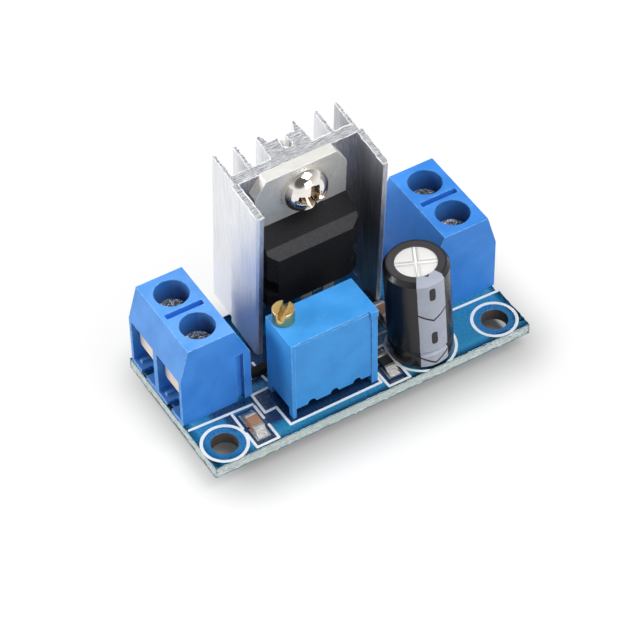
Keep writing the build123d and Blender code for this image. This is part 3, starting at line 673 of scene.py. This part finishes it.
# The same of what is no metal
plainOthers = [
    ("ceramic_brown", (0.25, 0.12, 0.06), (0.42, 0.23, 0.12), 0.42, 9.0, 0.01),
    ("resistor_glaze", (0.010, 0.010, 0.011), (0.022, 0.022, 0.024), 0.22, 6.0, 0.006),
    ("element_ceramic", (0.62, 0.59, 0.52), (0.78, 0.76, 0.70), 0.55, 8.0, 0.01),
    ("carriage_plastic", (0.70, 0.70, 0.66), (0.84, 0.84, 0.80), 0.42, 8.0, 0.006),
    ("bung_rubber", (0.012, 0.012, 0.012), (0.028, 0.028, 0.028), 0.60, 8.0, 0.01),
    ("wound_foil", (0.42, 0.38, 0.30), (0.60, 0.56, 0.48), 0.5, 8.0, 0.01),
    ("dark_silicon", (0.10, 0.10, 0.12), (0.18, 0.18, 0.21), 0.15, 8.0, 0.004),
    # drawn dark as painted shade inside the mounting holes
    ("hole_wall_painted_shade", (0.030, 0.024, 0.022), (0.085, 0.072, 0.066), 0.55, 6.0, 0.03),
    ("legend_ink", (0.62, 0.66, 0.68), (0.80, 0.82, 0.83), 0.50, 9.0, 0.01),
]
plain = {row[0]: plainFinish(*row) for row in plainMetals}
plain.update({row[0]: plainFinish(*row, metal=0.0) for row in plainOthers})

slotMaterial = {
    "solder_mask": boardMask,
    "tinned_pad": plain["tinned_pad"],
    "solder": plain["bright_solder"],
    "extruded_aluminium": extrudedAluminium,
    "bright_screw": brightNickel,
    "tinned_copper": plain["tinned_copper"],
    "black_moulding": blackMoulding,
    "silicon": plain["dark_silicon"],
    "can_aluminium": canAluminium,
    "black_sleeve": sleeveFilm,
    "bung_rubber": plain["bung_rubber"],
    "wound_foil": plain["wound_foil"],
    "terminal_plastic": plastic["terminal_plastic"],
    "trimmer_plastic": plastic["trimmer_plastic"],
    "element_ceramic": plain["element_ceramic"],
    "brass_screw": turnedBrass,
    "carriage_plastic": plain["carriage_plastic"],
    "contact_bronze": plain["contact_bronze"],
    "chip_ceramic": plain["ceramic_brown"],
    "chip_ends": plain["chip_ends"],
    "resistor_glaze": plain["resistor_glaze"],
    "clamp_steel": plain["clamp_steel"],
    "guard_steel": plain["guard_steel"],
}


def pick(piece):
    # Makes this piece the only one selected
    bpy.ops.object.select_all(action="DESELECT")
    piece.select_set(True)
    bpy.context.view_layer.objects.active = piece


def openMesh():
    # Edit mode with everything selected
    bpy.ops.object.mode_set(mode="EDIT")
    bpy.ops.mesh.select_all(action="SELECT")


def openSelection(kind):
    # Edit mode with the selection as it is, in edges or faces
    bpy.ops.object.mode_set(mode="EDIT")
    bpy.ops.mesh.select_mode(type=kind)


def closeMesh():
    bpy.ops.object.mode_set(mode="OBJECT")


def clearSelection(mesh):
    for parts in (mesh.vertices, mesh.edges, mesh.polygons):
        for part in parts:
            part.select = False


def selectFaces(piece, test):
    # Opens the mesh with the faces selected that pass the test, by middle and normal
    closeMesh()
    clearSelection(piece.data)
    for face in piece.data.polygons:
        face.select = test(face.center / mm, face.normal)
    openSelection("FACE")


def selectEdges(piece, test):
    # Opens the mesh with the edges selected that pass the test, by their two ends
    closeMesh()
    clearSelection(piece.data)
    corners = piece.data.vertices
    for edge in piece.data.edges:
        edge.select = test(*[corners[i].co / mm for i in edge.vertices])
    found = any(edge.select for edge in piece.data.edges)
    openSelection("EDGE")
    return found


def isUpright(first, last):
    return abs(first.z - last.z) > 0.5 * (first - last).length


# Treatment of carried-over shapes: how near corners are merged, in mm, then in degrees what
# counts as flat, which edges are rounded and how far shading is smooth
carry = {"merge": 0.002, "flat": 0.5, "sharp": 32, "smooth": 35}


def mergedCopy(name, newName):
    # A CAD node's shape as a new piece, its loose triangles merged into whole faces
    piece = bpy.data.objects.new(newName, nodes[name].data.copy())
    bpy.context.scene.collection.objects.link(piece)
    pick(piece)
    openMesh()
    bpy.ops.mesh.remove_doubles(threshold=carry["merge"] * mm)
    bpy.ops.mesh.dissolve_limited(angle_limit=radians(carry["flat"]))
    closeMesh()
    return piece


def roundEdges(piece, width, segments, angle, rim=None):
    bevel = piece.modifiers.new("edges", "BEVEL")
    bevel.width = width * mm
    bevel.segments = segments
    bevel.limit_method = "ANGLE"
    bevel.angle_limit = radians(angle)
    if rim:
        piece.data.materials.append(rim)
        bevel.material = len(piece.data.materials) - 1
    bpy.ops.object.modifier_apply(modifier=bevel.name)


def flatten(piece):
    # Keeps the large faces flat beside the rounded edges
    weights = piece.modifiers.new("flat", "WEIGHTED_NORMAL")
    weights.keep_sharp = True
    bpy.ops.object.modifier_apply(modifier=weights.name)


def dress(name, edge, segments=2, faces=(), smooth=carry["smooth"], finish=None, rim=None):
    # A copy of a CAD node with its sharp edges rounded, in the node's place
    piece = mergedCopy(name, name + "_shown")
    piece.data.materials.clear()
    piece.data.materials.append(finish or slotMaterial[slotOf[name]])
    for material, test in faces:
        piece.data.materials.append(material)
        index = len(piece.data.materials) - 1
        for face in piece.data.polygons:
            if test(face.center / mm, face.normal):
                face.material_index = index
    roundEdges(piece, edge, segments, carry["sharp"], rim)
    bpy.ops.object.shade_smooth_by_angle(angle=radians(smooth))
    flatten(piece)
    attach(piece, bodyOf[name])
    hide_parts(name)
    return piece


print("carried-over pieces")
for name, node in nodes.items():
    node.data.materials.clear()
    node.data.materials.append(slotMaterial[slotOf[name]])
    pick(node)
    bpy.ops.object.shade_smooth_by_angle(angle=radians(carry["smooth"]))


def isSheenPainted(middle, normal):
    # Painted sheen: the left block's top and outer faces get a paler copy of its plastic
    return middle.x < 0 and (normal.z > 0.5 or normal.x < -0.5)


def isBrow(middle, normal):
    # The slope above the regulator's front face, which gets a painted highlight
    return normal.y < -0.6 and normal.z > 0.35


tabFoot = 10  # the leadframe is a tab above this height


def isTabTop(middle, normal):
    return normal.z > 0.25 and middle.z > tabFoot


# painted sheen on the left block's top and outer faces
terminalSheenFaces = [(plastic["terminal_painted_sheen"], isSheenPainted)]
# the rounded edges get a paler rim: wear, and a painted highlight
for side in ("left", "right"):
    dress(side + "_terminal_housing", 0.12, 3, rim=plastic["terminal_wear_and_highlight"], faces=terminalSheenFaces)
    for end in ("front", "back"):
        dress(side + "_" + end + "_wire_guard", 0.06)
        dress(side + "_" + end + "_clamp_cage", 0.05)
        dress(side + "_" + end + "_terminal_screw", 0.04, finish=wellZincReflections)
dress("trimmer_housing", 0.10, 3, rim=plastic["trimmer_wear_and_highlight"])
dress("trimmer_cover", 0.07, rim=plastic["trimmer_wear_and_highlight"])
dress("adjusting_screw", 0.05)
dress("regulator_body", 0.08, smooth=20, faces=[(browHighlightMoulding, isBrow)])
tabFaces = [(tabEdge, isTabTop)]
dress("regulator_leadframe", 0.05, smooth=20, finish=plainTab, rim=tabEdge, faces=tabFaces)
dress("regulator_left_lead", 0.04)
dress("regulator_right_lead", 0.04)

heatsinkLow, heatsinkHigh = boxOf("heatsink")


def isSawn(middle, normal):
    return abs(normal.z) > 0.9


def isChannel(middle, normal):
    # The walls that face the regulator, given painted shade
    aside = middle.x - (heatsinkLow[0] + heatsinkHigh[0]) / 2
    sideWall = abs(normal.x) > 0.9 and aside * normal.x < 0 and abs(aside) > tower["inner"]
    return sideWall or (normal.y < -0.9 and abs(normal.z) < 0.3)


dress("heatsink", 0.05, faces=[(sawnAluminium, isSawn), (shadedInnerAluminium, isChannel)])
dress("chip_solder", 0.10, 3, smooth=60)

torn = {
    # the board's snapped edges, roughened inwards: how near its outline a corner counts as on it
    "near": 0.06,
    "grain": 0.45,
    "octaves": 3,
    "depth": 0.22,
    # for level edges, then upright ones: over which length they are cut, and how often
    "cuts": ((False, 3.0, 150), (True, 0.5, 6)),
}


def isEdge(middle, normal):
    return abs(normal.z) < 0.5


def isHoleWall(middle, normal):
    away = (abs(middle.x) - boardPlan["hole"]) ** 2 + middle.y ** 2
    return isEdge(middle, normal) and away < boardPlan["wall"]


def isOutside(spot):
    gaps = [abs(spot[axis] - corner[axis]) for corner in (boardLow, boardHigh) for axis in (0, 1)]
    return min(gaps) < torn["near"]


def snappedEdge(upright, over):
    # The test for an upright or level edge of the board's outline
    def test(first, last):
        onOutline = isOutside(first) and isOutside(last)
        return onOutline and isUpright(first, last) == upright and (first - last).length > over
    return test


def tearEdge(piece):
    pick(piece)
    for upright, over, cuts in torn["cuts"]:
        selectEdges(piece, snappedEdge(upright, over))
        bpy.ops.mesh.subdivide(number_cuts=cuts)
        closeMesh()
    outline = [corner.index for corner in piece.data.vertices if isOutside(corner.co / mm)]
    group = piece.vertex_groups.new(name="torn")
    group.add(outline, 1.0, "REPLACE")
    clouds = bpy.data.textures.new("fibres", "CLOUDS")
    clouds.noise_scale = torn["grain"] * mm
    clouds.noise_depth = torn["octaves"]
    tear = piece.modifiers.new("torn", "DISPLACE")
    tear.texture = clouds
    tear.texture_coords = "LOCAL"
    tear.vertex_group = "torn"
    tear.mid_level = 1.0
    tear.strength = torn["depth"] * mm
    bpy.ops.object.modifier_apply(modifier=tear.name)


tearEdge(dress("board", 0.05, faces=[(boardEdge, isEdge), (plain["hole_wall_painted_shade"], isHoleWall)]))
chips = ("input_chip_capacitor", "second_chip_capacitor", "chip_resistor")
for chip in chips:
    dress(chip + "_body", 0.03)
for chip in chips:
    dress(chip + "_ends", 0.05)
dress("diode_body", 0.05)

print("tab screw")


def crossCutter(turn):
    over = 0.5  # how far it stands out of the head
    depth = panScrew["depth"] + over
    middle = panScrew["height"] + over - depth / 2
    bpy.ops.mesh.primitive_cube_add(
        size=1,
        location=(0, 0, middle * mm),
        rotation=(0, 0, radians(turn)),
        scale=(panScrew["arm"] * mm, panScrew["slot"] * mm, depth * mm),
    )
    cutter = bpy.context.object
    bpy.ops.object.transform_apply(location=True, rotation=True, scale=True)
    selectFaces(cutter, lambda middle, normal: normal.z < -0.9)
    foot = (0, 0, (middle - depth / 2) * mm)
    taper = panScrew["taper"]
    bpy.ops.transform.resize(value=(taper, taper, 1), center_override=foot)
    closeMesh()
    return cutter


def tabScrew():
    bpy.ops.object.select_all(action="DESELECT")
    bpy.ops.mesh.primitive_uv_sphere_add(
        segments=64,
        ring_count=32,
        radius=mm,
        scale=(panScrew["radius"], panScrew["radius"], panScrew["height"]),
    )
    screw = bpy.context.object
    bpy.ops.object.transform_apply(location=False, rotation=False, scale=True)
    openMesh()
    # Cut just above the middle, so that no ring of corners lies on the cut
    bpy.ops.mesh.bisect(
        plane_co=(0, 0, 0.02 * mm), plane_no=(0, 0, 1), use_fill=True, clear_inner=True
    )
    selectFaces(screw, lambda middle, normal: normal.z < -0.9 and middle.z < 0.1)
    bpy.ops.mesh.inset(thickness=(panScrew["radius"] - panScrew["shank"]) * mm)
    down = (0, 0, -panScrew["length"] * mm)
    bpy.ops.mesh.extrude_region_move(TRANSFORM_OT_translate={"value": down})
    bpy.ops.mesh.select_all(action="SELECT")
    bpy.ops.mesh.normals_make_consistent(inside=False)
    closeMesh()
    for turn in (panScrew["turn"], panScrew["turn"] + 90):
        cutter = crossCutter(turn)
        pick(screw)
        cut = screw.modifiers.new("cross", "BOOLEAN")
        cut.operation = "DIFFERENCE"
        cut.object = cutter
        cut.solver = "EXACT"
        bpy.ops.object.modifier_apply(modifier=cut.name)
        bpy.data.objects.remove(cutter)
    pick(screw)
    roundEdges(screw, panScrew["edge"], 3, 28)
    screw.matrix_world = screwSeat()
    bpy.ops.object.transform_apply(location=True, rotation=True, scale=True)
    bpy.ops.object.shade_smooth_by_angle(angle=radians(40))
    screw.name = "tab_screw"
    screw.data.materials.append(brightNickel)
    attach(screw, bodyOf["heatsink_screw"])
    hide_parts("heatsink_screw")


tabScrew()

print("saw burr")
burr = {
    "step": 0.30,
    "wander": 0.045,
    "seed": 4,
    "thick": 0.062,
    "sink": 0.01,
    # the thickness along it, as shares of thick: least, and what two waves add
    "least": 0.65,
    "swell": 0.40,
    "waves": (0.9, 0.37),
    # how far under the top the sawn faces reach, and the cuts tried, most first
    "reach": 3,
    "cuts": (63, 31, 15, 7, 3, 1),
}


def cutBurr(strip, cuts):
    # Cuts every edge that is longer than so many steps
    if selectEdges(strip, lambda first, last: (first - last).length / burr["step"] > cuts):
        bpy.ops.mesh.subdivide(number_cuts=cuts)


def sawBurr():
    # A torn bright line along the edges of the heatsink's sawn top
    strip = mergedCopy("heatsink", "saw_burr")
    top = heatsinkHigh[2]
    selectFaces(strip, lambda middle, normal: normal.z > 0.9 and middle.z > top - burr["reach"])
    bpy.ops.mesh.select_all(action="INVERT")
    bpy.ops.mesh.delete(type="FACE")
    bpy.ops.mesh.select_all(action="SELECT")
    bpy.ops.mesh.delete(type="ONLY_FACE")
    for cuts in burr["cuts"]:
        cutBurr(strip, cuts)
    bpy.ops.mesh.select_all(action="SELECT")
    bpy.ops.transform.vertex_random(
        offset=burr["wander"] * mm, uniform=1.0, normal=0.0, seed=burr["seed"]
    )
    bpy.ops.transform.translate(value=(0, 0, -burr["sink"] * mm))
    closeMesh()
    bpy.ops.object.convert(target="CURVE")
    strip = bpy.context.object
    strip.data.bevel_depth = burr["thick"] * mm
    strip.data.bevel_resolution = 1
    quick, slow = burr["waves"]
    for spline in strip.data.splines:
        for order, point in enumerate(spline.points):
            swell = abs(sin(order * quick) * cos(order * slow))
            point.radius = burr["least"] + burr["swell"] * swell
    bpy.ops.object.convert(target="MESH")
    strip = bpy.context.object
    # Nothing of it stands above the heatsink's own height
    openMesh()
    bpy.ops.mesh.bisect(
        plane_co=(0, 0, top * mm),
        plane_no=(0, 0, 1),
        use_fill=True,
        clear_outer=True,
        threshold=0.0001 * mm,
    )
    closeMesh()
    strip.name = "saw_burr"
    strip.data.materials.clear()
    strip.data.materials.append(burrAluminium)
    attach(strip, bodyOf["heatsink"])


sawBurr()

print("legend")
legend = {
    "width": 0.28,
    "rise": 0.016,
    "corner": 0.45,  # how far a line's corners are rounded, as a share of its width
    # runs of printed line on the board, x and y in mm; the places of its letters stay bare
    "runs": [
        [(-17.4, 3.21), (-10.6, 2.92)],
        [(-12.95, 2.75), (-12.95, 0.71)],
        [(-12.95, -0.04), (-12.95, -2.05), (-10.55, -2.05), (-10.55, -0.15)],
        [(-10.55, 0.85), (-10.55, 2.6)],
        [
            (-8.28, 4.02), (-10.06, 3.95), (-10.1, 1.37), (-8.83, 1.40), (-8.76, -1.22),
            (1.44, -1.19), (1.47, -0.41),
        ],
        [(-7.86, 7.56), (-7.84, 6.85)],
        [(-7.91, 5.55), (-7.82, 4.81)],
        [(3.43, 2.83), (4.29, 2.93), (4.15, 1.06), (4.21, -2.05), (1.83, -2.05), (1.79, 0.0)],
        [(4.32, 4.36), (5.79, 4.30)],
        [(12.56, 3.26), (17.75, 3.09), (17.85, 4.0)],
    ],
    # rings: middle, outer and inner radius
    "rings": [
        ((-boardPlan["hole"], 0.0), 2.40, 2.08),
        ((boardPlan["hole"], 0.0), 2.40, 2.08),
        (sleeve["foot"][:2], 3.62, 3.34),
    ],
    "front": -2.32,  # the board's front edge cuts the rings off here
    # each length, run and ring is a little higher than the one before, so no two tops meet
    "lengthLift": 0.0006,
    "runLift": 0.0001,
    "ringLift": 0.005,
}


def printedRun(points, lift):
    pieces = []
    for first, last in zip(points, points[1:]):
        run = Vector(last) - Vector(first)
        middle = (Vector(first) + Vector(last)) / 2 * mm
        rise = legend["rise"] + lift
        lift += legend["lengthLift"]
        bpy.ops.mesh.primitive_cube_add(
            size=1,
            location=(middle.x, middle.y, (boardTop + rise / 2) * mm),
            rotation=(0, 0, atan2(run.y, run.x)),
            scale=((run.length + legend["width"]) * mm, legend["width"] * mm, rise * mm),
        )
        piece = bpy.context.object
        bpy.ops.object.transform_apply(location=False, rotation=False, scale=True)
        selectEdges(piece, isUpright)
        bpy.ops.mesh.bevel(offset=legend["corner"] * legend["width"] * mm, segments=4)
        closeMesh()
        pieces.append(piece)
    return pieces


def printedRing(middle, outer, inner, lift):
    bpy.ops.mesh.primitive_circle_add(
        vertices=96,
        radius=outer * mm,
        fill_type="NGON",
        location=(middle[0] * mm, middle[1] * mm, boardTop * mm),
    )
    ring = bpy.context.object
    openSelection("FACE")
    bpy.ops.mesh.inset(thickness=(outer - inner) * mm)
    bpy.ops.mesh.delete(type="FACE")
    bpy.ops.mesh.select_all(action="SELECT")
    upwards = (0, 0, (legend["rise"] + lift) * mm)
    bpy.ops.mesh.extrude_region_move(TRANSFORM_OT_translate={"value": upwards})
    bpy.ops.mesh.select_all(action="SELECT")
    bpy.ops.mesh.bisect(
        plane_co=(0, legend["front"] * mm, 0), plane_no=(0, 1, 0), use_fill=True, clear_inner=True
    )
    bpy.ops.mesh.select_all(action="SELECT")
    bpy.ops.mesh.normals_make_consistent(inside=False)
    closeMesh()
    return ring


def printLegend():
    pieces = []
    for order, points in enumerate(legend["runs"]):
        pieces += printedRun(points, order * legend["runLift"])
    for order, (middle, outer, inner) in enumerate(legend["rings"]):
        lift = legend["ringLift"] + order * legend["runLift"]
        pieces.append(printedRing(middle, outer, inner, lift))
    bpy.ops.object.select_all(action="DESELECT")
    for piece in pieces:
        piece.select_set(True)
    bpy.context.view_layer.objects.active = pieces[0]
    bpy.ops.object.join()
    bpy.ops.object.transform_apply(location=True, rotation=True, scale=True)
    printed = bpy.context.object
    printed.name = "board_legend"
    printed.data.materials.append(plain["legend_ink"])
    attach(printed, bodyOf["board"])


printLegend()

print("stage")
stage = {
    "size": 1.2,
    "floor": -1.5,
    # greys of the sheet in other pieces' light and in the camera's, and how much it glows there
    "bounce": 0.50,
    "paper": 0.92,
    "glow": 0.80,
    # painted shadow: the glow is greyer round this field, x and y from and to, and white so far
    # from it
    "shadowField": ((-12.8, 15.0), (0.1, 12.0)),
    "fade": 8.5,
    "grey": 0.28,
    # painted shadow: dark under this field, middle y and half sizes
    "cover": {"y": 6.0, "halfX": 16.8, "halfY": 6.8, "fade": 0.5, "share": 0.85},
}


def paperShader(tree, tone):
    # A plain sheet of the given grey
    shader = tree.nodes.new("ShaderNodeBsdfDiffuse")
    shader.inputs["Color"].default_value = (tone, tone, tone, 1)
    return Wire(tree, shader.outputs[0])


def mixShaders(factor, first, second):
    return second.make("ShaderNodeMixShader", None, {0: factor, 1: first, 2: second})


# How strongly the floor glows: painted shadow round and under the board
def floorShadowLevel(place):
    x, y, _ = axesOf(place)
    offX, offY = [
        larger(larger(low - wire, wire - high), 0.0)
        for wire, (low, high) in zip((x, y), stage["shadowField"])
    ]
    near = step(distance(offX, offY), 0.0, stage["fade"])
    cover = stage["cover"]
    pastX = larger(abs(x) - cover["halfX"], 0.0)
    pastY = larger(abs(y - cover["y"]) - cover["halfY"], 0.0)
    shadowCovered = fade(distance(pastX, pastY), 0.0, cover["fade"])
    return (stage["grey"] + near * (1 - stage["grey"])) * (1 - shadowCovered * cover["share"])


def floorShade():
    bpy.ops.mesh.primitive_plane_add(size=stage["size"], location=(0, 0, stage["floor"] * mm))
    floor = bpy.context.object
    floor.name = "floor"
    material = bpy.data.materials.new("floor_paper")
    material.use_nodes = True
    tree = material.node_tree
    tree.nodes.remove(tree.nodes["Principled BSDF"])
    place = placeOn(tree)
    camera, glossy = raysOf(tree)
    emission = {"Color": (1, 1, 1, 1), "Strength": floorShadowLevel(place)}
    glow = place.make("ShaderNodeEmission", None, emission)
    paper = mixShaders(stage["glow"], paperShader(tree, stage["paper"]), glow)
    seen = smaller(camera + glossy, 1.0)
    mixed = mixShaders(seen, paperShader(tree, stage["bounce"]), paper)
    tree.links.new(mixed.socket, tree.nodes["Material Output"].inputs["Surface"])
    floor.data.materials.append(material)


floorShade()

sky = {
    # mirrored by metal: white round the horizon, a greyer ceiling, darkest at the back
    "ceiling": (0.15, 0.75),
    "grey": 0.45,
    "backwards": (-0.4, 0.5),
    "darker": 0.35,
    # and dark round the camera, by the cosine of the angle from it
    "camera": (0.80, 0.93),
    "dark": 0.8,
    # what lights dull surfaces
    "fill": 0.24,
}


def skyShade():
    world = bpy.data.worlds.new("studio")
    bpy.context.scene.world = world
    world.use_nodes = True
    tree = world.node_tree
    camera, glossy = raysOf(tree)
    x, y, z = axesOf(Wire(tree, tree.nodes.new("ShaderNodeTexCoord").outputs["Generated"]))
    grey = sky["grey"] + step(y, *sky["backwards"]) * sky["darker"]
    ceiling = 1 - step(z, *sky["ceiling"]) * grey
    back = towardsCamera()
    toCamera = x * back.x + y * back.y + z * back.z
    ceiling = ceiling * (1 - step(toCamera, *sky["camera"]) * sky["dark"])
    level = camera + (1 - camera) * (glossy * ceiling + (1 - glossy) * sky["fill"])
    background = tree.nodes["Background"].inputs
    tree.links.new(level.socket, background["Strength"])
    background["Color"].default_value = (1, 1, 1, 1)


skyShade()

lampAim = (0, 5, 8)
lamps = {
    # place in mm, size in mm, power in W
    "key": {"place": (110, -130, 420), "size": 260, "power": 1.60},
    "left": {"place": (-365, 190, 130), "size": 180, "power": 1.05},
    "front": {"place": (60, -420, 200), "size": 220, "power": 0.58},
    "back": {"place": (-60, 360, 260), "size": 220, "power": 0.35},
}
for name, lamp in lamps.items():
    bpy.ops.object.light_add(type="AREA")
    light = bpy.context.object
    light.name = name + "_light"
    light.data.shape = "SQUARE"
    light.data.size = lamp["size"] * mm
    light.data.energy = lamp["power"]
    place = Vector(lamp["place"])
    turn = (place - Vector(lampAim)).to_track_quat("Z", "Y").to_matrix().to_4x4()
    light.matrix_world = Matrix.Translation(place * mm) @ turn

bpy.context.scene.view_settings.view_transform = "Standard"
